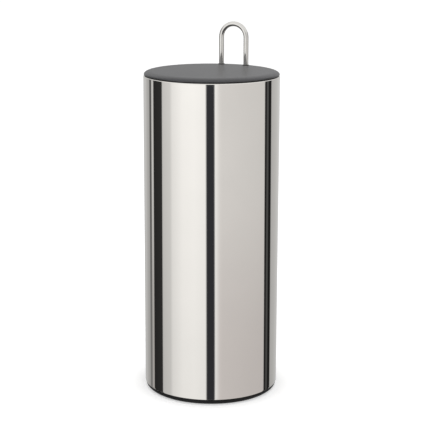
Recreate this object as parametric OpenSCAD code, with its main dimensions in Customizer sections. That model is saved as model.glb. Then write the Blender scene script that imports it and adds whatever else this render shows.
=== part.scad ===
// Tall round holder for spare toilet rolls.
// A steel tube stands on a moulded base. The lid, a hairpin wire and a plate
// under the rolls lift out of it together.
// The origin is on the floor, under the middle of the tube. The wire is at the back, at +Y.

/* [Tube] */
// Outside diameter of the steel tube
tube_d = 145.8; // [135:0.1:165]
// Height of the steel rim above the floor
rim_z = 346.3; // [320:0.1:380]
// Height of the tube's bottom edge above the floor
tube_foot_z = 7; // [6:0.5:10]
// Sheet thickness of the tube
tube_wall = 0.8; // [0.5:0.1:1]
// Width of the hem that is rolled inwards round the rim
hem_w = 2.6; // [2.4:0.1:3.2]
// Length of the hem, measured down from the rim
hem_leg = 9; // [6:0.5:12]

/* [Base] */
// Wall thickness of the base moulding
base_wall = 2.2; // [1.6:0.1:2.8]
// Height of the base's collar inside the tube
collar_h = 24; // [16:1:40]
// Radial play between the collar and the tube
collar_fit = 0.15; // [0.05:0.05:0.3]
// Width of the ring that the base stands on
foot_ring_w = 10; // [9:0.5:14]
// Thickness of a foot pad
pad_t = 1.8; // [1.4:0.1:2.4]
// How far a foot pad stands out below the moulding
pad_proud = 0.6; // [0.3:0.1:1]
// Length of a foot pad along the ring, in degrees
pad_angle = 34; // [20:1:50]
// Distance of the plate's seat from the tube's outside
seat_inset = 22.5; // [18:0.5:30]
// Height of the ridge that the plate rests on
seat_h = 1.5; // [1:0.1:3]

/* [Carrier plate] */
// Height of the plate, from its seat to its deck
plate_h = 9.5; // [9:0.5:16]
// Thickness of the plate's deck, skirt and ribs
plate_wall = 2.2; // [1.6:0.1:2.6]
// Height of the raised edge round the deck
plate_lip = 2; // [1.5:0.1:5]
// Radial play between the plate and the base's collar
plate_play = 0.8; // [0.5:0.1:1.5]

/* [Wire] */
// Diameter of the wire
wire_d = 5.5; // [5:0.1:6.2]
// Distance between the wire's two legs, centre to centre
leg_span = 29.2; // [27:0.1:34]
// Distance of the legs' centres from the back of the tube
leg_inset = 12.9; // [12:0.1:16]
// Height of the loop's top above the lid
loop_h = 47.5; // [40:0.5:80]

/* [Lid] */
// Height of the lid's cover
lid_t = 4.1; // [3.8:0.1:5]
// How far the lid's edge lies inside the tube's outside
lid_inset = 0.5; // [0.2:0.1:1]
// How far the rounding of the lid's edge reaches in from its side
lid_edge_w = 8.5; // [5:0.5:10]
// Thickness of the lid's cover over the moulding under it
cover_wall = 2; // [1.6:0.1:2.4]
// Height of the seal that shows between lid and rim
seal_t = 0.6; // [0.5:0.1:2]
// How far the seal lies inside the lid's edge
seal_inset = 0.7; // [0.5:0.1:1.2]
// Wall thickness of the moulding under the lid
plug_wall = 2.2; // [1.6:0.1:2.4]
// Depth of the plug, from the seal to its lower edge
plug_h = 13.5; // [12.5:0.5:20]
// Distance of the lid screws from the tube's outside
lid_screw_inset = 28.5; // [26:0.5:34]

/* [Fasteners] */
// Thickness of the bracket that holds the wire to the lid
bracket_t = 1.5; // [1:0.1:2.5]
// Diameter of the screws in the lid
lid_screw_d = 2.5; // [2.2:0.1:3]
// Diameter of the screws in the ends of the wire
leg_screw_d = 3; // [2.5:0.1:3.2]
// Height of a screw's head
head_h = 1.8; // [1.4:0.1:2]

/* [Clearances] */
// Play round a part that is pressed in or screwed on
press_play = 0.05; // [0.02:0.01:0.1]
// Gap between parts that only rest on each other
rest_gap = 0.2; // [0.1:0.05:0.3]

/* [Hidden] */

steel = [0.80, 0.79, 0.77];
wire_steel = [0.72, 0.71, 0.70];
zinc = [0.66, 0.67, 0.68];
lid_grey = [0.30, 0.30, 0.31];
moulded_black = [0.09, 0.09, 0.10];
silicone_black = [0.05, 0.05, 0.05];

// Facets of a full turn in the preview: large turnings and small ones
big_n = 144;
small_n = 48;
// Cuts run this far past the faces that they open
past = 1;

// Tube and hem
tube_r = tube_d / 2;
tube_ri = tube_r - tube_wall;
hem_r = hem_w / 2;
hem_ri = tube_r - hem_w;

// Foot: its outer edge is a quarter round that starts just under the steel
shoulder_inset = 0.5;
shoulder_h = 0.5;
foot_r = tube_r - shoulder_inset;
foot_round = tube_foot_z - shoulder_h - pad_proud;
stand_r = foot_r - foot_round;
channel_ro = stand_r - base_wall;
channel_ri = stand_r - foot_ring_w + base_wall;
collar_ro = tube_ri - collar_fit;
collar_ri = collar_ro - base_wall;
floor_top = tube_foot_z + base_wall;
seat_r = tube_r - seat_inset;
seat_z = floor_top + seat_h;
web_t = 1.6;
web_lift = 2;
web_count = 24;
floor_rib_count = 8;
hub_r = 14;
pad_count = 4;
pad_margin = 3;

// Plate
plate_r = min(collar_ri, hem_ri) - plate_play;
plate_z = seat_z + rest_gap;
deck_top = plate_z + plate_h;
deck_z = deck_top - plate_wall;
plate_rib_count = 8;
plate_rib_t = 1.8;
lip_round = plate_wall / 2;
deck_fillet = 1;
plate_chamfer = 0.8;

// Lid
seal_z = rim_z + rest_gap / 2;
lid_z = seal_z + seal_t;
lid_top = lid_z + lid_t;
lid_r = tube_r - lid_inset;
lid_under_round = 0.5;
seal_r = lid_r - seal_inset;
plug_play = 0.5;
seal_skirt_t = 1.2;
seal_skirt_h = 7;
plug_r = hem_ri - plug_play - seal_skirt_t;
plug_ri = plug_r - plug_wall;
plug_z = lid_z - plug_h;
plug_lead = 1;
// The moulding's roof fills a recess in the cover
recess_h = lid_t - cover_wall;
roof_top = lid_z + recess_h;
roof_z = roof_top - plug_wall;
lid_rib_h = 8;
lid_rib_count = 8;
lid_hub_r = 16;
lid_screw_r = tube_r - lid_screw_inset;

// Wire
wire_r = wire_d / 2;
leg_x = leg_span / 2;
leg_y = tube_r - leg_inset;
loop_top = lid_top + loop_h;
bend_z = loop_top - wire_r - leg_x;

// Screw heads and their recesses
head_r = 2.6;
head_play = 0.3;
drive_r = 1.1;
drive_depth = 1;
head_round = 0.9;

// Screws into the ends of the wire
leg_screw_rad = leg_screw_d / 2;
leg_screw_l = 14;
socket_wall = 2;
socket_r = wire_r + press_play + socket_wall;
socket_floor = 2;
leg_head_depth = head_h + head_play;
leg_end_z = plate_z + leg_head_depth + socket_floor;

// Screws that join the cover to the moulding under it
lid_screw_rad = lid_screw_d / 2;
boss_wall = 1.8;
lid_boss_r = lid_screw_rad + boss_wall;
lid_boss_h = 8;
lid_boss_z = roof_top - lid_boss_h;
lid_socket_floor = 4;
lid_socket_r = lid_boss_r + press_play + boss_wall;
lid_socket_z = lid_boss_z - lid_socket_floor;
cover_skin = 1.2;
screw_tip_gap = 0.8;
lid_screw_l = lid_top - cover_skin - screw_tip_gap - lid_socket_z;

// Bracket: it reaches from behind the legs to a screw in front of each of them
bracket_boss_h = 5.8;
bracket_top = roof_z - bracket_boss_h;
bracket_z = bracket_top - bracket_t;
bracket_side = 6;
bracket_half_x = leg_x + bracket_side;
bracket_edge_gap = 0.4;
bracket_reach = 13;
bracket_depth = bracket_reach + bracket_side;
bracket_screw_y = leg_y - bracket_reach;
bracket_screw_l = bracket_t + bracket_boss_h - screw_tip_gap;
bracket_boss_r = lid_screw_rad + boss_wall;
bracket_pocket = 1;
bracket_corner = 3;
weld_r = 1.1;

// Grommets
grommet_wall = 0.55;
grommet_flange_w = 1.1;
grommet_flange_h = 0.5;
grommet_r = wire_r + press_play + grommet_wall;

// A ring or disc turned about the vertical axis
module ring(ro, ri, z0, z1) {
    translate([0, 0, z0])
        difference() {
            cylinder(r = ro, h = z1 - z0, $fn = big_n);
            if (ri > 0)
                translate([0, 0, -past]) cylinder(r = ri, h = z1 - z0 + 2 * past, $fn = big_n);
        }
}

// A plain hole, used for cutting
module hole(r, z0, z1) {
    translate([0, 0, z0]) cylinder(r = r, h = z1 - z0, $fn = small_n);
}

// Radial ribs from one radius to another
module ribs(count, r0, r1, t, z0, z1, turn = 0) {
    for (i = [0 : count - 1])
        rotate([0, 0, turn + i * 360 / count])
            translate([r0, -t / 2, z0]) cube([r1 - r0, t, z1 - z0]);
}

// Repeats its child at both legs of the wire, or at places on the same two sides
module both_sides(x, y) {
    for (side = [-1, 1])
        translate([side * x, y, 0]) children();
}

module at_lid_screw(i) {
    rotate([0, 0, 45 + 90 * (i - 1)]) translate([lid_screw_r, 0, 0]) children();
}

// A pan-head screw that points up, with its head under z0
module screw(r, l, z0) {
    translate([0, 0, z0]) cylinder(r = r, h = l, $fn = small_n);
    translate([0, 0, z0 - head_h])
        difference() {
            rotate_extrude($fn = small_n) {
                square([head_r - head_round, head_h]);
                translate([0, head_round]) square([head_r, head_h - head_round]);
                translate([head_r - head_round, head_round])
                    intersection() {
                        circle(r = head_round, $fn = small_n);
                        translate([0, -head_round]) square(head_round);
                    }
            }
            translate([0, 0, -past]) cylinder(r = drive_r, h = past + drive_depth, $fn = 6);
        }
}

module canister_shell() {
    color(steel)
    rotate_extrude($fn = big_n) {
        translate([tube_ri, tube_foot_z]) square([tube_wall, rim_z - hem_r - tube_foot_z]);
        translate([hem_ri, rim_z - hem_leg]) square([tube_wall, hem_leg - hem_r]);
        // The fold at the top is a half ring
        translate([tube_r - hem_r, rim_z - hem_r])
            difference() {
                circle(r = hem_r, $fn = small_n);
                circle(r = hem_r - tube_wall, $fn = small_n);
                translate([-hem_w, -2 * hem_w]) square([2 * hem_w, 2 * hem_w]);
            }
    }
}

// Half profile of the foot's outside, with its quarter round
module foot_outline() {
    translate([channel_ri - base_wall, pad_proud])
        square([stand_r - channel_ri + base_wall, tube_foot_z - pad_proud]);
    translate([stand_r, pad_proud + foot_round])
        intersection() {
            circle(r = foot_round, $fn = big_n);
            translate([0, -foot_round]) square([foot_round, foot_round]);
        }
    translate([stand_r, pad_proud + foot_round]) square([foot_round, shoulder_h]);
}

// Half profile of the channel on the foot's underside
module channel_outline() {
    translate([channel_ri, pad_proud - past])
        square([channel_ro - channel_ri, tube_foot_z - pad_proud + past]);
    translate([channel_ro, pad_proud + base_wall])
        square([base_wall, tube_foot_z - pad_proud - base_wall]);
    translate([stand_r, pad_proud + foot_round])
        intersection() {
            circle(r = foot_round - base_wall, $fn = big_n);
            translate([0, -foot_round]) square([foot_round, foot_round]);
        }
}

// The part of a ring between two angles, for pads and their blocks
module arc_block(ri, ro, angle, z0, z1) {
    rotate([0, 0, -angle / 2])
        rotate_extrude(angle = angle, $fn = big_n)
            translate([ri, z0]) square([ro - ri, z1 - z0]);
}

module at_pad(i) {
    rotate([0, 0, 45 + 360 / pad_count * (i - 1)]) children();
}

module base_moulding() {
    color(moulded_black) {
        // Foot ring with its channel, open downwards
        difference() {
            rotate_extrude($fn = big_n) foot_outline();
            rotate_extrude($fn = big_n) channel_outline();
        }
        // Webs across the channel, and solid blocks over the pads
        ribs(web_count, channel_ri - base_wall / 2, stand_r, web_t, pad_proud + web_lift, tube_foot_z, 7.5);
        for (i = [1 : pad_count])
            at_pad(i)
                arc_block(channel_ri - base_wall / 2, stand_r, pad_angle + pad_margin, pad_t, tube_foot_z);
        // Floor, the ridge that the plate rests on, and the collar inside the tube
        ring(collar_ro, 0, tube_foot_z, floor_top);
        ring(seat_r + base_wall / 2, seat_r - base_wall / 2, tube_foot_z, seat_z);
        difference() {
            ring(collar_ro, collar_ri, tube_foot_z, tube_foot_z + collar_h);
            // Lead-in on the collar's upper edge, so that the tube slides on
            translate([0, 0, tube_foot_z + collar_h - base_wall])
                difference() {
                    cylinder(r = tube_r, h = base_wall + past, $fn = big_n);
                    cylinder(r1 = collar_ro, r2 = collar_ri + base_wall / 3, h = base_wall, $fn = big_n);
                }
        }
        // Stiffening under the floor
        ribs(floor_rib_count, hub_r - base_wall / 2, channel_ri - base_wall / 2, web_t,
            pad_proud + web_lift, tube_foot_z);
        ring(hub_r, hub_r - base_wall, pad_proud + web_lift, tube_foot_z);
    }
}

module foot_pad(i) {
    color(silicone_black)
    at_pad(i)
        arc_block(channel_ri + press_play, channel_ro - press_play, pad_angle, 0, pad_t);
}

// Half profile of the lid's cover: its edge is a quarter of an ellipse, with a small round under it
module cover_outline() {
    square([lid_r - lid_edge_w, lid_t]);
    square([lid_r - lid_under_round, lid_under_round]);
    translate([lid_r - lid_under_round, lid_under_round]) circle(r = lid_under_round, $fn = small_n);
    translate([lid_r - lid_edge_w, lid_under_round])
        scale([lid_edge_w, lid_t - lid_under_round])
            intersection() {
                circle(r = 1, $fn = big_n);
                square(1);
            }
}

module lid_cover() {
    color(lid_grey)
    difference() {
        union() {
            difference() {
                translate([0, 0, lid_z]) rotate_extrude($fn = big_n) cover_outline();
                ring(plug_r + press_play, 0, lid_z - past, roof_top);
            }
            for (i = [1 : 4])
                at_lid_screw(i) hole(lid_boss_r, lid_boss_z, roof_top + past);
        }
        both_sides(leg_x, leg_y) hole(grommet_r + press_play, lid_z - past, lid_top + past);
        for (i = [1 : 4])
            at_lid_screw(i) hole(lid_screw_rad + press_play, lid_boss_z - past, lid_top - cover_skin);
    }
}

module lid_underside() {
    color(moulded_black)
    difference() {
        union() {
            ring(plug_r, 0, roof_z, roof_top);
            difference() {
                ring(plug_r, plug_ri, plug_z, roof_top);
                // Lead-in round the plug's lower edge
                translate([0, 0, plug_z])
                    difference() {
                        ring(tube_r, 0, -past, 2 * plug_lead);
                        cylinder(r1 = plug_r - plug_lead, r2 = plug_r, h = 2 * plug_lead, $fn = big_n);
                    }
            }
            ring(lid_hub_r, lid_hub_r - plug_wall, roof_z - lid_rib_h, roof_z + plug_wall / 2);
            ribs(lid_rib_count, lid_hub_r - plug_wall / 2, plug_ri + plug_wall / 2, web_t,
                roof_z - lid_rib_h, roof_z + plug_wall / 2, 22.5);
            for (i = [1 : 4])
                at_lid_screw(i) hole(lid_socket_r, lid_socket_z, roof_z + plug_wall / 2);
        }
        // Room for the bracket among the ribs
        translate([-bracket_half_x - bracket_pocket, leg_y - bracket_depth - bracket_pocket, plug_z - past])
            intersection() {
                cube([2 * (bracket_half_x + bracket_pocket), tube_r, roof_z - plug_z + past]);
                translate([bracket_half_x + bracket_pocket, bracket_depth + bracket_pocket - leg_y, 0])
                    cylinder(r = plug_ri, h = plug_h + past, $fn = big_n);
            }
        both_sides(leg_x, leg_y) hole(wire_r + plug_play, plug_z - past, roof_top + past);
        for (i = [1 : 4]) {
            at_lid_screw(i) hole(lid_boss_r + press_play, lid_boss_z - press_play, roof_top + past);
            at_lid_screw(i) hole(lid_screw_rad + press_play, lid_socket_z - past, lid_boss_z + past);
        }
    }
    color(moulded_black)
    // Bosses that the bracket is screwed to
    difference() {
        both_sides(leg_x, bracket_screw_y)
            hole(bracket_boss_r, bracket_top, roof_z + plug_wall / 2);
        both_sides(leg_x, bracket_screw_y)
            hole(lid_screw_rad + press_play, bracket_top - past, roof_z);
    }
}

// Half profile of the seal: a flange on the rim, and a skirt round the plug with a round lower edge
module seal_outline() {
    skirt_ri = plug_r + press_play;
    end_r = (seal_skirt_t - press_play) / 2;
    end_z = seal_z - seal_skirt_h + end_r;
    translate([skirt_ri, seal_z]) square([seal_r - skirt_ri, seal_t]);
    translate([skirt_ri, end_z]) square([2 * end_r, lid_z - end_z]);
    translate([skirt_ri + end_r, end_z]) circle(r = end_r, $fn = small_n);
}

module lid_seal() {
    color(silicone_black)
    rotate_extrude($fn = big_n) seal_outline();
}

module lid_screw(i) {
    color(zinc)
    at_lid_screw(i) screw(lid_screw_rad, lid_screw_l, lid_socket_z);
}

module handle_frame() {
    color(wire_steel)
    difference() {
        union() {
            both_sides(leg_x, leg_y) hole(wire_r, leg_end_z, bend_z);
            translate([0, leg_y, bend_z]) rotate([90, 0, 0])
                rotate_extrude(angle = 180, $fn = big_n)
                    translate([leg_x, 0]) circle(r = wire_r, $fn = small_n);
        }
        // Tapped ends for the screws from below
        both_sides(leg_x, leg_y)
            hole(leg_screw_rad + press_play, leg_end_z - past, leg_end_z + leg_screw_l);
    }
}

// Outline of the bracket, with round corners in front
module bracket_outline() {
    front = leg_y - bracket_depth;
    translate([-bracket_half_x, front + bracket_corner]) square([2 * bracket_half_x, tube_r]);
    translate([bracket_corner - bracket_half_x, front]) square([2 * (bracket_half_x - bracket_corner), tube_r]);
    for (side = [-1, 1])
        translate([side * (bracket_half_x - bracket_corner), front + bracket_corner])
            circle(r = bracket_corner, $fn = small_n);
}

module lid_bracket() {
    color(zinc)
    difference() {
        union() {
            intersection() {
                translate([0, 0, bracket_z]) linear_extrude(bracket_t) bracket_outline();
                hole(plug_ri - bracket_edge_gap, bracket_z, bracket_top);
            }
            // Beads of weld round the legs
            both_sides(leg_x, leg_y)
                translate([0, 0, bracket_top])
                    rotate_extrude($fn = small_n)
                        translate([wire_r, 0])
                            intersection() {
                                circle(r = weld_r, $fn = small_n);
                                square(weld_r);
                            }
        }
        both_sides(leg_x, leg_y) hole(wire_r + press_play, bracket_z - past, bracket_top + weld_r + past);
        both_sides(leg_x, bracket_screw_y)
            hole(lid_screw_rad + press_play, bracket_z - past, bracket_top + past);
    }
}

module bracket_screw(side) {
    color(zinc)
    translate([side * leg_x, bracket_screw_y, 0])
        screw(lid_screw_rad, bracket_screw_l, bracket_z);
}

module leg_grommet(side) {
    color(silicone_black)
    translate([side * leg_x, leg_y, 0])
        difference() {
            union() {
                hole(grommet_r, roof_top, lid_top + grommet_flange_h / 2);
                translate([0, 0, lid_top])
                    cylinder(r1 = grommet_r + grommet_flange_w / 2, r2 = grommet_r,
                        h = grommet_flange_h, $fn = small_n);
            }
            hole(wire_r + press_play, roof_top - past, lid_top + grommet_flange_h + past);
        }
}

// Half profile of the plate: deck, skirt and the round-topped edge that keeps the rolls on it
module plate_outline() {
    lip_top = deck_top + plate_lip;
    translate([0, deck_z]) square([plate_r - lip_round, plate_wall]);
    difference() {
        translate([plate_r - plate_wall, plate_z]) square([plate_wall, lip_top - lip_round - plate_z]);
        // Broken lower edge, which leads the plate into the tube
        translate([plate_r, plate_z]) rotate([0, 0, 45])
            square(plate_chamfer * sqrt(2), center = true);
    }
    translate([plate_r - lip_round, lip_top - lip_round]) circle(r = lip_round, $fn = small_n);
    // Fillet between deck and edge
    translate([plate_r - plate_wall - deck_fillet, deck_top])
        difference() {
            square(deck_fillet);
            translate([0, deck_fillet]) circle(r = deck_fillet, $fn = small_n);
        }
}

module carrier_plate() {
    color(moulded_black)
    difference() {
        union() {
            rotate_extrude($fn = big_n) plate_outline();
            ring(seat_r + plate_wall / 2, seat_r - plate_wall / 2, plate_z, deck_top - plate_wall / 2);
            ring(hub_r, hub_r - plate_wall, plate_z, deck_top - plate_wall / 2);
            ribs(plate_rib_count, hub_r - plate_wall / 2, plate_r - plate_wall / 2, plate_rib_t,
                plate_z + web_lift, deck_top - plate_wall / 2, 22.5);
            both_sides(leg_x, leg_y) hole(socket_r, plate_z, deck_top - plate_wall / 2);
        }
        both_sides(leg_x, leg_y) {
            hole(wire_r + press_play, leg_end_z, deck_top + past);
            hole(leg_screw_rad + press_play, plate_z, leg_end_z + past);
            hole(head_r + head_play, plate_z - past, plate_z + leg_head_depth);
        }
    }
}

module leg_screw(side) {
    color(zinc)
    translate([side * leg_x, leg_y, 0])
        screw(leg_screw_rad, leg_screw_l, plate_z + leg_head_depth);
}

canister_shell();
base_moulding();
foot_pad(1);  // foot_pad_1
foot_pad(2);  // foot_pad_2
foot_pad(3);  // foot_pad_3
foot_pad(4);  // foot_pad_4
lid_cover();
lid_underside();
lid_seal();
lid_screw(1);  // lid_screw_1
lid_screw(2);  // lid_screw_2
lid_screw(3);  // lid_screw_3
lid_screw(4);  // lid_screw_4
handle_frame();
lid_bracket();
bracket_screw(-1);  // bracket_screw_left
bracket_screw(1);  // bracket_screw_right
leg_grommet(-1);  // leg_grommet_left
leg_grommet(1);  // leg_grommet_right
carrier_plate();
leg_screw(-1);  // leg_screw_left
leg_screw(1);  // leg_screw_right
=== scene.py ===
import math

import bmesh
import bpy
from mathutils import Matrix, Vector


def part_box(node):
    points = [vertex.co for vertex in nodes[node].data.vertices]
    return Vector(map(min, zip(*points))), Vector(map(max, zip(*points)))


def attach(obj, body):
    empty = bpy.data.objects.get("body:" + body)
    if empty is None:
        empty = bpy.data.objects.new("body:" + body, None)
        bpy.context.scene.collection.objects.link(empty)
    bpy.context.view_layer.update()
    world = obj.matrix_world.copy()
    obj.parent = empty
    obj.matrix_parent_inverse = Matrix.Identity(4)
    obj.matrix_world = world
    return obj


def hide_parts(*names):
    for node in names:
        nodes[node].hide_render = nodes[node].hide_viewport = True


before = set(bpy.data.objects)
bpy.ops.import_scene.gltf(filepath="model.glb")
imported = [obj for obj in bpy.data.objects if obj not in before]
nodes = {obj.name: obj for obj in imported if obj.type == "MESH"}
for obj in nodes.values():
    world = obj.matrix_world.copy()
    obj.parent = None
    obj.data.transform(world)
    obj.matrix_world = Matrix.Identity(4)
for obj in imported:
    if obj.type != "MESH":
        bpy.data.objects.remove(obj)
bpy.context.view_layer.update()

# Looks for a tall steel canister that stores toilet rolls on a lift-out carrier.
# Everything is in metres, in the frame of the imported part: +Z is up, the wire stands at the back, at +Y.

mm = 0.001
print("packed frame loaded with", len(nodes), "nodes")


def linearColour(code):
    # "#rrggbb" in sRGB to the linear colour that shaders take
    parts = [int(code[i:i + 2], 16) / 255 for i in (1, 3, 5)]
    return [p / 12.92 if p <= 0.04045 else ((p + 0.055) / 1.055) ** 2.4 for p in parts] + [1.0]


def grey(level):
    return [level] * 3 + [1.0]


def addNode(tree, kind, inputs, **settings):
    # One node with its settings; inputs holds a value or a link for each socket, by name or number.
    # Of a Mix node, numbers mix by socket 0 from 2 to 3, and colours from 6 to 7, out of output 2.
    node = tree.nodes.new("ShaderNode" + kind)
    for setting, value in settings.items():
        setattr(node, setting, value)
    for socket, value in inputs.items():
        if isinstance(value, bpy.types.NodeSocket):
            tree.links.new(value, node.inputs[socket])
        else:
            node.inputs[socket].default_value = value
    return node


def fromSpan(ends):
    # Inputs for a MapRange node that reads from the first end to the second
    return {"From Min": ends[0], "From Max": ends[1]}


def toSpan(ends):
    return {"To Min": ends[0], "To Max": ends[1]}


noiseSpan = fromSpan((0.3, 0.7))        # nearly all of a noise lies between these levels


def startMaterial(name, sockets):
    # A new material whose shader has these plain values, and the place on the piece that its patterns read
    material = bpy.data.materials.new(name)
    material.use_nodes = True
    tree = material.node_tree
    shader = tree.nodes["Principled BSDF"]
    for socket, value in sockets.items():
        shader.inputs[socket].default_value = value
    place = addNode(tree, "TexCoord", {}).outputs["Object"]
    return material, tree, shader, place


def linkFinish(tree, shader, values, share, rough, relief):
    # What every finish ends with: its two colours mixed by share, its roughness, and a bump from its relief
    first, second = values["colours"]
    strength, depth = values["bump"]
    colour = addNode(tree, "Mix", {0: share, 6: linearColour(first), 7: linearColour(second)},
                     data_type="RGBA")
    bump = addNode(tree, "Bump", {"Height": relief, "Strength": strength, "Distance": depth})
    tree.links.new(colour.outputs[2], shader.inputs["Base Color"])
    tree.links.new(rough, shader.inputs["Roughness"])
    tree.links.new(bump.outputs[0], shader.inputs["Normal"])


def setRamp(node, stops):
    # Stops are (place from 0 to 1, linear colour); the two that a new ramp has are used first
    elements = node.color_ramp.elements
    while len(elements) < len(stops):
        elements.new(1.0)
    for element, (place, colour) in zip(elements, stops):
        element.position = place
        element.color = colour


# Camera: fitted to the photograph's tube sides, rim, foot and lid
photoCamera = {
    "azimuth": 23.7,        # degrees to the right of the front, -Y
    "distance": 1.4382,     # from the canister's axis, level with the floor
    "height": 0.5238,
    "pitchDown": 12.80,     # degrees
    "roll": 0.178,          # degrees, the camera leans left
    "aimRight": 0.0082,     # degrees
    "focalPixels": 1353.0,
    "imagePixels": 423,
    "sensor": 36.0,         # mm
}


def makeCamera(values):
    data = bpy.data.cameras.new("photoCamera")
    data.sensor_width = values["sensor"]
    data.lens = values["focalPixels"] / values["imagePixels"] * values["sensor"]
    camera = bpy.data.objects.new("photoCamera", data)
    bpy.context.scene.collection.objects.link(camera)
    turn = math.radians(values["azimuth"])
    away = values["distance"]
    place = Vector((away * math.sin(turn), -away * math.cos(turn), values["height"]))
    view = Matrix.Rotation(turn - math.radians(values["aimRight"]), 4, "Z")
    view = view @ Matrix.Rotation(math.radians(90 - values["pitchDown"]), 4, "X")
    view = view @ Matrix.Rotation(math.radians(values["roll"]), 4, "Z")
    camera.matrix_world = Matrix.Translation(place) @ view
    bpy.context.scene.camera = camera


makeCamera(photoCamera)
bpy.context.scene.view_settings.view_transform = "Standard"
print("camera placed")


# Studio: a round wall of panels and flags that shows in reflections alone, and even light for the rest
studio = {
    "background": 1.0,      # white, for the camera alone
    "ambient": 0.66,        # even light from all round
    "overhead": 1.0,        # brightness over the wall's top, in reflections
    # Turn from the camera in degrees, right is plus: from, to, brightness at each end, tint
    "panels": [
        (-180, -149.3, 0.6, 0.64, "plain"),       # wall behind, left
        (-142, -130.9, 0.54, 0.46, "plain"),
        (-129.8, -123.4, 0.11, 0.11, "stand"),    # narrow dark stand
        (-122.2, -116.5, 0.67, 0.67, "strip"),
        (-115.6, -92.3, 0.026, 0.036, "plain"),   # left flag
        (-91.3, -74.3, 0.7, 0.8, "plain"),        # grey card
        (-69.5, -49.7, 1.0, 1.175, "plain"),      # key panel, with soft edges
        (-29.8, -8.55, 1.21, 1.15, "plain"),
        (-8.35, 5.52, 0.040, 0.040, "cool"),      # middle flag, in front of the camera
        (5.90, 7.66, 1.18, 1.09, "plain"),        # bright edge of the fill panel
        (14.3, 18.9, 0.87, 0.83, "rosy"),
        (59.6, 102.5, 0.785, 0.745, "rosy"),      # fill panel
        (103.6, 108.1, 0.02, 0.02, "plain"),      # right flag, in two halves
        (109.1, 114, 0.11, 0.07, "plain"),
        (114.8, 121.8, 0.012, 0.012, "plain"),
        (123.7, 180, 0.55, 0.76, "plain"),        # wall behind, right
    ],
    # Colour, what multiplies it at the floor, and whether it changes evenly (0) or late (1) on the way down
    "tints": {
        "plain": ((1.0, 1.0, 1.0), (0.86, 0.86, 0.86), 0),
        "cool": ((0.97, 1.0, 1.15), (0.86, 0.86, 0.86), 0),
        "rosy": ((1.0, 0.985, 0.98), (0.838, 0.81, 0.81), 1),
        "stand": ((1.0, 1.0, 1.0), (1.9, 1.9, 1.9), 1),
        "strip": ((1.0, 1.0, 1.0), (0.68, 0.66, 0.65), 1),
    },
    # Heights are given as the sine of the angle over the horizon
    "topEdge": (0.20, 0.50),            # where the wall gives way to the overhead light
    "floorEdge": (-0.129, -0.342),      # between these the wall changes evenly
    "lateEdge": (-0.182, -0.331),       # and between these late
    "trueLevel": 0.52,                  # share of the floorEdge range at which the panels stand as listed
    "lean": 2.2,                        # degrees that they all lean to the right over that range
    "spread": 0.031,                    # share that they stand further apart at its lower end
    # Softboxes: name, place, width in metres, watts
    "lamps": [
        ("overheadSoftbox", (0.1, -0.2, 1.9), 1.4, 14),
        ("frontSoftbox", (0.95, -1.58, 1.5), 1.0, 8),
    ],
    "lampAim": (0.0, 0.0, 0.2),         # the middle of the canister, which they face
}


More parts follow.
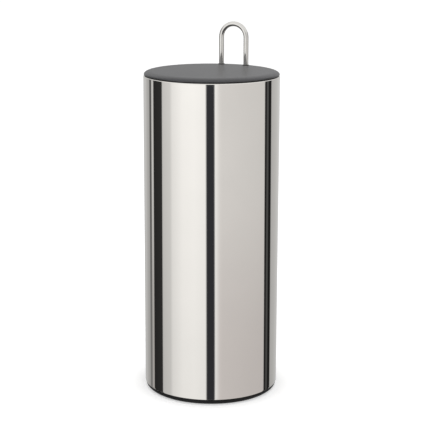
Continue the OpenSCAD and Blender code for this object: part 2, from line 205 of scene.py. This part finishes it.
def makeWorld(values):
    world = bpy.data.worlds.new("studio")
    bpy.context.scene.world = world
    world.use_nodes = True
    tree = world.node_tree
    tree.nodes.clear()
    # Where a ray goes: how high, and how far round from the camera's side
    way = addNode(tree, "TexCoord", {}).outputs["Generated"]
    height = addNode(tree, "SeparateXYZ", {0: way}).outputs["Z"]
    turn = math.radians(photoCamera["azimuth"])
    ahead, aside = (math.sin(turn), -math.cos(turn), 0.0), (math.cos(turn), math.sin(turn), 0.0)
    level = addNode(tree, "VectorMath", {0: way, 1: (1.0, 1.0, 0.0)}, operation="MULTIPLY").outputs[0]
    towards = addNode(tree, "VectorMath", {0: level, 1: ahead}, operation="DOT_PRODUCT").outputs["Value"]
    sideways = addNode(tree, "VectorMath", {0: level, 1: aside}, operation="DOT_PRODUCT").outputs["Value"]
    angle = addNode(tree, "Math", {0: sideways, 1: towards}, operation="ARCTAN2").outputs[0]
    # The panels lean and spread with depth
    depth = addNode(tree, "MapRange", {"Value": height, **fromSpan(values["floorEdge"])}).outputs[0]
    lower = addNode(tree, "Math", {0: depth, 1: values["trueLevel"]}, operation="SUBTRACT").outputs[0]
    lean = -math.radians(values["lean"])
    upright = addNode(tree, "Math", {0: lower, 1: lean, 2: angle}, operation="MULTIPLY_ADD").outputs[0]
    wider = addNode(tree, "Math", {0: lower, 1: values["spread"], 2: 1.0},
                    operation="MULTIPLY_ADD").outputs[0]
    turned = addNode(tree, "Math", {0: upright, 1: wider}, operation="DIVIDE").outputs[0]
    share = addNode(tree, "MapRange", {"Value": turned, **fromSpan((-math.pi, math.pi))}).outputs[0]
    # One ramp for the wall and one for its foot; their alpha says how the change between them goes
    wall = addNode(tree, "ValToRGB", {"Fac": share})
    footOfWall = addNode(tree, "ValToRGB", {"Fac": share})
    wallStops, footStops = [], []
    for start, end, first, last, tintName in values["panels"]:
        tint, atFloor, late = values["tints"][tintName]
        for degrees, brightness in ((start, first), (end, last)):
            spot = (degrees + 180) / 360
            wallStops.append((spot, [brightness * part for part in tint] + [late]))
            footStops.append((spot, [brightness * part * foot for part, foot in zip(tint, atFloor)] + [late]))
    setRamp(wall, wallStops)
    setRamp(footOfWall, footStops)
    nearFloor = addNode(tree, "MapRange", {"Value": height, **fromSpan(values["lateEdge"])},
                        interpolation_type="SMOOTHSTEP").outputs[0]
    change = addNode(tree, "Mix", {0: wall.outputs["Alpha"], 2: depth, 3: nearFloor}, data_type="FLOAT")
    shaded = addNode(tree, "Mix", {0: change.outputs[0], 6: wall.outputs["Color"],
                                   7: footOfWall.outputs["Color"]}, data_type="RGBA")
    above = addNode(tree, "MapRange", {"Value": height, **fromSpan(values["topEdge"])})
    mirrored = addNode(tree, "Mix", {0: above.outputs[0], 6: shaded.outputs[2],
                                     7: grey(values["overhead"])}, data_type="RGBA")
    # Mirrors see the wall, the camera the backdrop, and everything else is lit evenly
    path = addNode(tree, "LightPath", {})
    ambient = addNode(tree, "Background", {"Color": grey(values["ambient"])})
    mirror = addNode(tree, "Background", {"Color": mirrored.outputs[2]})
    backdrop = addNode(tree, "Background", {"Color": grey(values["background"])})
    unseen = addNode(tree, "MixShader", {0: path.outputs["Is Glossy Ray"], 1: ambient.outputs[0],
                                         2: mirror.outputs[0]})
    seen = addNode(tree, "Math", {0: path.outputs["Is Camera Ray"], 1: path.outputs["Is Transmission Ray"]},
                   operation="MAXIMUM")
    final = addNode(tree, "MixShader", {0: seen.outputs[0], 1: unseen.outputs[0], 2: backdrop.outputs[0]})
    addNode(tree, "OutputWorld", {"Surface": final.outputs[0]})


def makeLamp(name, place, width, watts, aim):
    data = bpy.data.lights.new(name, "AREA")
    data.shape = "DISK"
    data.size = width
    data.energy = watts
    lamp = bpy.data.objects.new(name, data)
    bpy.context.scene.collection.objects.link(lamp)
    lamp.location = place
    lamp.visible_glossy = False     # mirrors show the studio wall alone
    lamp.rotation_mode = "QUATERNION"
    lamp.rotation_quaternion = (Vector(place) - Vector(aim)).to_track_quat("Z", "Y")


# Floor: white board; the light added for the camera dips round the foot, a painted shadow that gives its real
# shadow a soft tail
floorLook = {
    "board": "#e4e4e4", "roughness": 0.9, "sheen": 0.2,
    "halfWidth": 9.0,
    "reach": 0.5,       # metres from the canister's axis at the last stop
    # Share of the reach, light added; where it falls below 0.52 it is a painted shadow round the foot
    "lift": [
        (0.132, 0.52), (0.143, 0.45), (0.152, 0.30), (0.168, 0.31), (0.19, 0.37), (0.25, 0.45), (1.0, 0.52),
    ],
}


def makeFloor(values):
    mesh = bpy.data.meshes.new("studioFloor")
    shape = bmesh.new()
    bmesh.ops.create_grid(shape, x_segments=2, y_segments=2, size=values["halfWidth"])
    shape.to_mesh(mesh)
    shape.free()
    floor = bpy.data.objects.new("studioFloor", mesh)
    bpy.context.scene.collection.objects.link(floor)
    floor.visible_glossy = False    # the steel mirrors the wall right down to its foot
    # Matt white painted board; for the camera it is lifted to the white of the backdrop, less its shadows,
    # and the lift dips round the foot as a painted soft shadow
    material, tree, shader, place = startMaterial("paintedStudioBoard", {
        "Base Color": linearColour(values["board"]), "Roughness": values["roughness"],
        "Specular IOR Level": values["sheen"], "Emission Color": grey(1.0)})
    distance = addNode(tree, "VectorMath", {0: place}, operation="LENGTH").outputs["Value"]
    share = addNode(tree, "Math", {0: distance, 1: values["reach"]}, operation="DIVIDE", use_clamp=True)
    # The light added falls off near the foot, a painted shadow ring
    glowAndPaintedShadow = addNode(tree, "ValToRGB", {"Fac": share.outputs[0]})
    setRamp(glowAndPaintedShadow, [(stop, grey(level)) for stop, level in values["lift"]])
    seen = addNode(tree, "LightPath", {}).outputs["Is Camera Ray"]
    lift = addNode(tree, "Math", {0: seen, 1: glowAndPaintedShadow.outputs["Color"]}, operation="MULTIPLY")
    tree.links.new(lift.outputs[0], shader.inputs["Emission Strength"])
    mesh.materials.append(material)


makeWorld(studio)
for lampValues in studio["lamps"]:
    makeLamp(*lampValues, studio["lampAim"])
makeFloor(floorLook)
print("studio lit")


# The tube: one sheet with its rim folded in and down. Its steel and its mesh both go by these values.
tubeForm = {
    "sheet": 0.8 * mm, "hemWidth": 2.6 * mm, "hemLength": 9 * mm,
    "deburr": 0.2 * mm,         # round on the cut edges
    "near": 1.0 * mm,           # rings this close to a round keep the long walls' shading straight
    "sides": 288, "foldSteps": 16, "edgeSteps": 4,
}

# Stainless steel sheet, grade 304, rolled to a tube and buffed to a mirror outside, left as rolled inside.
# It gives crisp upright streaks of the room, with lines of polish round the tube too fine to see singly.
tubeFinish = {
    "colours": ("#e4e1dc", "#c9c8c5"),              # buffed, rolled
    "roughness": (0.018, 0.04), "rolledRoughness": 0.32,
    "lineLength": 60 * mm, "lineHeight": 0.6 * mm,  # real lines are some 0.05 mm apart, drawn coarser to show
    "bump": (0.25, 0.002 * mm),                     # strength, depth of the lines
    "smudge": 45 * mm,
    "film": (0.5, 0.75), "filmMost": 0.02,          # noise levels, and the most roughness that smudges add
    "dull": (0.3, 0.8), "dullMost": 0.12,           # noise levels, and the most of the rolled colour
}


def makeTubeSteel(values, form):
    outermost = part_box("canister_shell")[1]
    material, tree, shader, place = startMaterial("mirrorBuffedStainless", {"Metallic": 1.0})
    # The rolled face is what lies further in than half the sheet and lower than the hem
    flat = addNode(tree, "VectorMath", {0: place, 1: (1.0, 1.0, 0.0)}, operation="MULTIPLY").outputs[0]
    radius = addNode(tree, "VectorMath", {0: flat}, operation="LENGTH").outputs["Value"]
    height = addNode(tree, "SeparateXYZ", {0: place}).outputs["Z"]
    midSheet, hemEnd = outermost.x - form["sheet"] / 2, outermost.z - form["hemLength"]
    within = addNode(tree, "Math", {0: radius, 1: midSheet}, operation="LESS_THAN").outputs[0]
    below = addNode(tree, "Math", {0: height, 1: hemEnd}, operation="LESS_THAN").outputs[0]
    inside = addNode(tree, "Math", {0: within, 1: below}, operation="MULTIPLY").outputs[0]
    across, upwards = 1 / values["lineLength"], 1 / values["lineHeight"]
    stretched = addNode(tree, "Mapping", {"Vector": place, "Scale": (across, across, upwards)}).outputs[0]
    lines = addNode(tree, "TexNoise", {"Vector": stretched, "Scale": 1.0, "Detail": 3.0,
                                       "Roughness": 0.6}).outputs[0]
    smudges = addNode(tree, "TexNoise", {"Vector": place, "Scale": 1 / values["smudge"],
                                         "Detail": 4.0}).outputs[0]
    film = addNode(tree, "MapRange", {"Value": smudges, **fromSpan(values["film"]),
                                      "To Max": values["filmMost"]}).outputs[0]
    fine = addNode(tree, "MapRange", {"Value": lines, **noiseSpan, **toSpan(values["roughness"])}).outputs[0]
    outer = addNode(tree, "Math", {0: fine, 1: film}, operation="ADD").outputs[0]
    rough = addNode(tree, "Mix", {0: inside, 2: outer, 3: values["rolledRoughness"]},
                    data_type="FLOAT").outputs[0]
    tone = addNode(tree, "MapRange", {"Value": smudges, **fromSpan(values["dull"]),
                                      "To Max": values["dullMost"]}).outputs[0]
    duller = addNode(tree, "Math", {0: inside, 1: tone}, operation="MAXIMUM").outputs[0]
    linkFinish(tree, shader, values, duller, rough, lines)
    return material


# Stainless steel wire, grade 304, drawn, bent cold and buffed.
# It mirrors the room a little softer than the tube and shows faint drawing lines along its legs.
wireFinish = {
    "colours": ("#dcdad6", "#b9b7b3"),      # bright, dull from handling
    "roughness": (0.04, 0.09),
    "grain": 0.5 * mm,                      # across the wire; real lines are finer
    "grainLength": 12 * mm,
    "bump": (0.3, 0.003 * mm),
    "wearSize": 14 * mm, "wear": (0.4, 0.8), "wearMost": 0.5,       # patches, noise levels, most of the dull
}


def makeWireSteel(values):
    material, tree, shader, place = startMaterial("buffedStainlessWire", {"Metallic": 1.0})
    across, upwards = 1 / values["grain"], 1 / values["grainLength"]
    stretched = addNode(tree, "Mapping", {"Vector": place, "Scale": (across, across, upwards)}).outputs[0]
    lines = addNode(tree, "TexNoise", {"Vector": stretched, "Scale": 1.0, "Detail": 3.0}).outputs[0]
    rough = addNode(tree, "MapRange", {"Value": lines, **noiseSpan, **toSpan(values["roughness"])}).outputs[0]
    cloud = addNode(tree, "TexNoise", {"Vector": place, "Scale": 1 / values["wearSize"],
                                       "Detail": 3.0}).outputs[0]
    worn = addNode(tree, "MapRange", {"Value": cloud, **fromSpan(values["wear"]),
                                      "To Max": values["wearMost"]}).outputs[0]
    linkFinish(tree, shader, values, worn, rough, lines)
    return material


# ABS moulding in charcoal with a fine spark-eroded grain.
# It is matt from above and takes a soft grey sheen at a low angle, with the wire's blurred reflection in it.
lidFinish = {
    "colours": ("#2e2e30", "#3a3a3d"),      # body, worn
    "roughness": (0.36, 0.44),
    "grain": 0.8 * mm,                      # the eroded grain is 0.3 mm, drawn coarser to show
    "bump": (0.6, 0.006 * mm),
    "edge": 3 * mm, "edgePolish": 0.05,     # hands polish the rounded edge this far in
    "wearSize": 30 * mm, "wear": (0.35, 0.75), "wearMost": 0.35,    # patches, noise levels, most of the worn
}


def makeLidPlastic(values):
    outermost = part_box("lid_cover")[1]
    material, tree, shader, place = startMaterial("sparkErodedAbs", {"IOR": 1.53})
    grain = addNode(tree, "TexNoise", {"Vector": place, "Scale": 1 / values["grain"],
                                       "Detail": 4.0}).outputs[0]
    cloud = addNode(tree, "TexNoise", {"Vector": place, "Scale": 1 / values["wearSize"],
                                       "Detail": 3.0}).outputs[0]
    flat = addNode(tree, "VectorMath", {0: place, 1: (1.0, 1.0, 0.0)}, operation="MULTIPLY").outputs[0]
    radius = addNode(tree, "VectorMath", {0: flat}, operation="LENGTH").outputs["Value"]
    edgeSpan = fromSpan((outermost.x - values["edge"], outermost.x))
    edge = addNode(tree, "MapRange", {"Value": radius, **edgeSpan},
                   interpolation_type="SMOOTHSTEP").outputs[0]
    fine = addNode(tree, "MapRange", {"Value": grain, **noiseSpan, **toSpan(values["roughness"])}).outputs[0]
    rough = addNode(tree, "Math", {0: edge, 1: -values["edgePolish"], 2: fine},
                    operation="MULTIPLY_ADD").outputs[0]
    wear = addNode(tree, "MapRange", {"Value": cloud, **fromSpan(values["wear"]),
                                      "To Max": values["wearMost"]}).outputs[0]
    rubbed = addNode(tree, "Math", {0: wear, 1: edge, 2: wear}, operation="MULTIPLY_ADD").outputs[0]
    linkFinish(tree, shader, values, rubbed, rough, grain)
    return material


# Polypropylene moulding in black with a coarser eroded grain.
# It reads near black with soft edges, and greys a little where it is scuffed.
mouldingFinish = {
    "colours": ("#121213", "#2a2a2c"),      # body, scuffed
    "roughness": (0.42, 0.58), "sheen": 0.2,
    "grain": 1.0 * mm,                      # the eroded grain is 0.5 mm, drawn coarser to show
    "bump": (0.7, 0.012 * mm),
    "scuffHeight": 2.2 * mm,                        # the foot is scuffed up to here above the floor
    "scuffSize": 9 * mm, "scuff": (0.45, 0.7),      # patches, noise levels
    "faint": 0.12,                                  # share of the scuffs that shows everywhere else
}


def makeBlackMoulding(values):
    material, tree, shader, place = startMaterial("erodedPolypropylene", {
        "IOR": 1.49, "Specular IOR Level": values["sheen"]})
    grain = addNode(tree, "TexNoise", {"Vector": place, "Scale": 1 / values["grain"],
                                       "Detail": 4.0}).outputs[0]
    patches = addNode(tree, "TexNoise", {"Vector": place, "Scale": 1 / values["scuffSize"],
                                         "Detail": 5.0}).outputs[0]
    height = addNode(tree, "SeparateXYZ", {0: place}).outputs["Z"]
    low = addNode(tree, "MapRange", {"Value": height, **fromSpan((values["scuffHeight"], 0.0))}).outputs[0]
    rubbed = addNode(tree, "MapRange", {"Value": patches, **fromSpan(values["scuff"])}).outputs[0]
    scuffs = addNode(tree, "Math", {0: low, 1: rubbed}, operation="MULTIPLY").outputs[0]
    shown = addNode(tree, "Math", {0: rubbed, 1: values["faint"], 2: scuffs},
                    operation="MULTIPLY_ADD").outputs[0]
    rough = addNode(tree, "MapRange", {"Value": grain, **noiseSpan, **toSpan(values["roughness"])}).outputs[0]
    linkFinish(tree, shader, values, shown, rough, grain)
    return material


# Silicone rubber, compression moulded, black.
# It is dead matt and holds a little pale dust in its skin.
rubberFinish = {
    "colours": ("#131314", "#3a3a3a"),      # body, dusty
    "roughness": (0.6, 0.8),
    "skin": 1.2 * mm,
    "bump": (0.5, 0.008 * mm),
    "dustSize": 3 * mm, "dust": (0.58, 0.78), "dustMost": 0.4,      # patches, noise levels, most of the dust
}


def makeSilicone(values):
    material, tree, shader, place = startMaterial("mouldedSilicone", {"IOR": 1.41})
    skin = addNode(tree, "TexNoise", {"Vector": place, "Scale": 1 / values["skin"], "Detail": 3.0}).outputs[0]
    dust = addNode(tree, "TexNoise", {"Vector": place, "Scale": 1 / values["dustSize"],
                                      "Detail": 6.0}).outputs[0]
    specks = addNode(tree, "MapRange", {"Value": dust, **fromSpan(values["dust"]),
                                        "To Max": values["dustMost"]}).outputs[0]
    rough = addNode(tree, "MapRange", {"Value": skin, **noiseSpan, **toSpan(values["roughness"])}).outputs[0]
    linkFinish(tree, shader, values, specks, rough, skin)
    return material


# Mild steel, stamped or cold headed, with a bright zinc plating.
# It is a cool grey metal, softer than the polished pieces, with a faint straw tint in patches.
zincFinish = {
    "colours": ("#b9bdc2", "#b5aa93"),      # plated, straw
    "roughness": (0.22, 0.38),
    "spangle": 1.5 * mm, "spangleReach": 0.8,       # crystals of the plating, and where they are roughest
    "cloud": 6 * mm, "straw": (0.5, 0.8), "strawMost": 0.5,     # patches, noise levels, most of the straw
    "bump": (0.4, 0.01 * mm),
}


def makeZincPlate(values):
    material, tree, shader, place = startMaterial("zincPlatedSteel", {"Metallic": 1.0})
    cells = addNode(tree, "TexVoronoi", {"Vector": place, "Scale": 1 / values["spangle"]}).outputs["Distance"]
    cloud = addNode(tree, "TexNoise", {"Vector": place, "Scale": 1 / values["cloud"],
                                       "Detail": 3.0}).outputs[0]
    tint = addNode(tree, "MapRange", {"Value": cloud, **fromSpan(values["straw"]),
                                      "To Max": values["strawMost"]}).outputs[0]
    rough = addNode(tree, "MapRange", {"Value": cells, "From Max": values["spangleReach"],
                                       **toSpan(values["roughness"])}).outputs[0]
    linkFinish(tree, shader, values, tint, rough, cloud)
    return material


def dress(material, *names):
    for name in names:
        nodes[name].material_slots[0].material = material


tubeSteel = makeTubeSteel(tubeFinish, tubeForm)
wireSteel = makeWireSteel(wireFinish)
lidPlastic = makeLidPlastic(lidFinish)
blackMoulding = makeBlackMoulding(mouldingFinish)
silicone = makeSilicone(rubberFinish)
zincPlate = makeZincPlate(zincFinish)
dress(tubeSteel, "canister_shell")
dress(wireSteel, "handle_frame")
dress(lidPlastic, "lid_cover")
dress(blackMoulding, "base_moulding", "lid_underside", "carrier_plate")
dress(silicone, "lid_seal", "leg_grommet_left", "leg_grommet_right",
      "foot_pad_1", "foot_pad_2", "foot_pad_3", "foot_pad_4")
dress(zincPlate, "lid_bracket", "lid_screw_1", "lid_screw_2", "lid_screw_3", "lid_screw_4",
      "bracket_screw_left", "bracket_screw_right", "leg_screw_left", "leg_screw_right")
print("materials assigned")


# How every new mesh is finished
meshFinish = {
    "merge": 0.0005 * mm,       # points closer than this become one
    "sharpFrom": 35,            # degrees; edges that turn by this much stay crisp
}


def addPiece(name, shape, body, material):
    # A finished bmesh becomes a piece that rides on a CAD body
    bmesh.ops.remove_doubles(shape, verts=shape.verts, dist=meshFinish["merge"])
    bmesh.ops.recalc_face_normals(shape, faces=shape.faces)
    for face in shape.faces:
        face.smooth = True
    for edge in shape.edges:
        edge.smooth = edge.calc_face_angle(math.pi) < math.radians(meshFinish["sharpFrom"])
    mesh = bpy.data.meshes.new(name)
    shape.to_mesh(mesh)
    shape.free()
    mesh.materials.append(material)
    piece = bpy.data.objects.new(name, mesh)
    bpy.context.scene.collection.objects.link(piece)
    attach(piece, body)
    return piece


def ofKind(items, kind):
    # Only the vertices, or only the edges, of what an operator gives back
    return [item for item in items if isinstance(item, kind)]


def turnOutline(outline, sides, closed=True):
    # Draws an outline and turns it about the upright axis. A stop is a point (radius, height), or an arc
    # on from the last point (radius and height of its middle, degrees, steps); plus is from outwards to up.
    shape = bmesh.new()
    start = tip = shape.verts.new((outline[0][0], 0.0, outline[0][1]))
    for radius, height, *arc in outline[1:]:
        if arc:
            degrees, steps = arc
            swept = bmesh.ops.spin(shape, geom=[tip], cent=(radius, 0, height), axis=(0, -1, 0),
                                   angle=math.radians(degrees), steps=steps)
            tip = ofKind(swept["geom_last"], bmesh.types.BMVert)[0]
        else:
            last, tip = tip, shape.verts.new((radius, 0.0, height))
            shape.edges.new((last, tip))
    if closed:
        shape.edges.new((tip, start))
    bmesh.ops.spin(shape, geom=shape.verts[:] + shape.edges[:], cent=(0, 0, 0), axis=(0, 0, 1),
                   angle=2 * math.pi, steps=sides, use_merge=True)
    return shape


def makeTube(values):
    # Turned in one piece with its fold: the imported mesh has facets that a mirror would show
    low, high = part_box("canister_shell")
    outer, foot, sheet, near, small = high.x, low.z, values["sheet"], values["near"], values["deburr"]
    inner, end = outer - sheet, high.z - values["hemLength"]
    fold = values["hemWidth"] / 2
    bend = high.z - fold
    hemInner = outer - values["hemWidth"]
    hemOuter = hemInner + sheet
    outline = [
        (outer - small, foot), (outer - small, foot + small, 90, values["edgeSteps"]),
        (outer, foot + near), (outer, bend - near), (outer, bend),
        (outer - fold, bend, 180, values["foldSteps"]),             # over the top and down inside
        (hemInner, bend - near), (hemInner, end + near), (hemInner, end + small),
        (hemInner + small, end + small, 90, values["edgeSteps"]),
        (hemOuter - small, end), (hemOuter - small, end + small, 90, values["edgeSteps"]),
        (hemOuter, end + near), (hemOuter, bend - near), (hemOuter, bend),
        (outer - fold, bend, -180, values["foldSteps"]),            # back under the fold
        (inner, bend - near), (inner, foot + near), (inner, foot + small),
        (inner + small, foot + small, 90, values["edgeSteps"]),
    ]
    shape = turnOutline(outline, values["sides"])
    tube = addPiece("mirrorTube", shape, "canister", tubeSteel)
    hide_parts("canister_shell")


makeTube(tubeForm)
print("tube turned")


# Cross-recess pan-head screws, cold headed from wire; each head has a punched cross in its flat face
screwForm = {
    "headRadius": 2.6 * mm, "headHeight": 1.8 * mm,
    "flat": 1.75 * mm,          # radius of the head's flat face
    "seatEdge": 0.15 * mm,      # bevel where the head meets what it holds
    "crossLong": 1.25 * mm, "crossHalf": 0.32 * mm,     # an arm's reach, and half its width
    "crossDepth": 1.0 * mm, "crossTaper": 0.72,         # its depth, and its size at that depth
    "tip": 0.8 * mm, "sides": 40, "bendSteps": 7,
    # Node, shank's radius, and how far the cross stands turned, in degrees
    "screws": [
        ("lid_screw_1", 1.25 * mm, 12), ("lid_screw_2", 1.25 * mm, 71),
        ("lid_screw_3", 1.25 * mm, 38), ("lid_screw_4", 1.25 * mm, 84),
        ("bracket_screw_left", 1.25 * mm, 25), ("bracket_screw_right", 1.25 * mm, 63),
        ("leg_screw_left", 1.5 * mm, 52), ("leg_screw_right", 1.5 * mm, 7),
    ],
}


def makeScrew(node, shank, turn, values):
    low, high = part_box(node)
    head, flat, widest, tip = values["headHeight"], values["flat"], values["headRadius"], values["tip"]
    seat = low.z + head
    length = high.z - seat
    bend = widest - flat
    outline = [
        (flat, -head), (flat, bend - head, 90, values["bendSteps"]),
        (widest, -values["seatEdge"]), (widest - values["seatEdge"], 0.0),
        (shank, 0.0), (shank, length - tip), (shank - tip / 2, length), (0.0, length),
    ]
    shape = turnOutline(outline, values["sides"], closed=False)
    bmesh.ops.remove_doubles(shape, verts=shape.verts, dist=meshFinish["merge"])
    # The flat face is filled between its outline and the cross, whose walls slope in to a smaller cross
    rim = [edge for edge in shape.edges if edge.is_boundary]
    arm, half, taper = values["crossLong"], values["crossHalf"], values["crossTaper"]
    corner = [(arm, -half), (arm, half), (half, half)]
    upper = []
    for quarter in range(4):
        onward = Matrix.Rotation(quarter * math.pi / 2, 3, "Z")
        upper += [shape.verts.new(onward @ Vector((x, y, -head))) for x, y in corner]
    cross = [shape.edges.new(pair) for pair in zip(upper, upper[1:] + upper[:1])]
    walls = bmesh.ops.extrude_edge_only(shape, edges=cross)["geom"]
    lower = ofKind(walls, bmesh.types.BMVert)
    bmesh.ops.scale(shape, verts=lower, vec=(taper, taper, 1))
    bmesh.ops.translate(shape, verts=lower, vec=(0, 0, values["crossDepth"]))
    smaller = [edge for edge in ofKind(walls, bmesh.types.BMEdge) if edge.is_boundary]
    bmesh.ops.edgeloop_fill(shape, edges=smaller)
    bmesh.ops.triangle_fill(shape, use_beauty=True, edges=rim + cross)
    turned = Matrix.Rotation(math.radians(turn), 3, "Z")
    bmesh.ops.rotate(shape, verts=shape.verts, cent=(0, 0, 0), matrix=turned)
    middle = (low + high) / 2
    bmesh.ops.translate(shape, verts=shape.verts, vec=(middle.x, middle.y, seat))
    first, *others = node.split("_")
    name = first + "".join(word.capitalize() for word in others)
    screw = addPiece(name, shape, "carrier", zincPlate)
    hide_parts(node)


for screwNode, screwShank, screwTurn in screwForm["screws"]:
    makeScrew(screwNode, screwShank, screwTurn, screwForm)
print("screws made")


# What the moulds leave on the hidden faces: round ejector pin marks, and the stub where the gate was cut
markForm = {
    "pin": 2.5 * mm, "proud": 0.12 * mm, "count": 8,    # radius of a pin mark, its height, pins in the ring
    "gate": 1.3 * mm, "gateProud": 0.6 * mm,            # the same of the gate's stub, in the middle
    "slope": 0.12 * mm, "sunk": 0.05 * mm,              # how far they narrow, and reach into the wall
    "sides": 32,
    # Name, body, moulding, height of the marked face over the moulding's lowest edge,
    # distance of the pins from the middle, and the first pin's angle
    "faces": [
        ("baseMarks", "canister", "base_moulding", 6.4 * mm, 34 * mm, 22.5),
        ("plateMarks", "carrier", "carrier_plate", 7.3 * mm, 33 * mm, 0.0),
        ("lidMarks", "carrier", "lid_underside", 13.4 * mm, 31 * mm, 0.0),
    ],
}


def makeMarks(name, body, moulding, rise, reach, first, values):
    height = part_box(moulding)[0].z + rise
    shape = bmesh.new()
    spots = [(0.0, 0.0, values["gate"], values["gateProud"])]
    for i in range(values["count"]):
        angle = math.radians(first + 360 * i / values["count"])
        spots.append((reach * math.cos(angle), reach * math.sin(angle), values["pin"], values["proud"]))
    for x, y, radius, proud in spots:
        place = Matrix.Translation((x, y, height + (values["sunk"] - proud) / 2))
        bmesh.ops.create_cone(shape, cap_ends=True, segments=values["sides"], matrix=place,
                              radius1=radius - values["slope"], radius2=radius, depth=proud + values["sunk"])
    addPiece(name, shape, body, blackMoulding)


for markFace in markForm["faces"]:
    makeMarks(*markFace, markForm)
print("mould marks made")
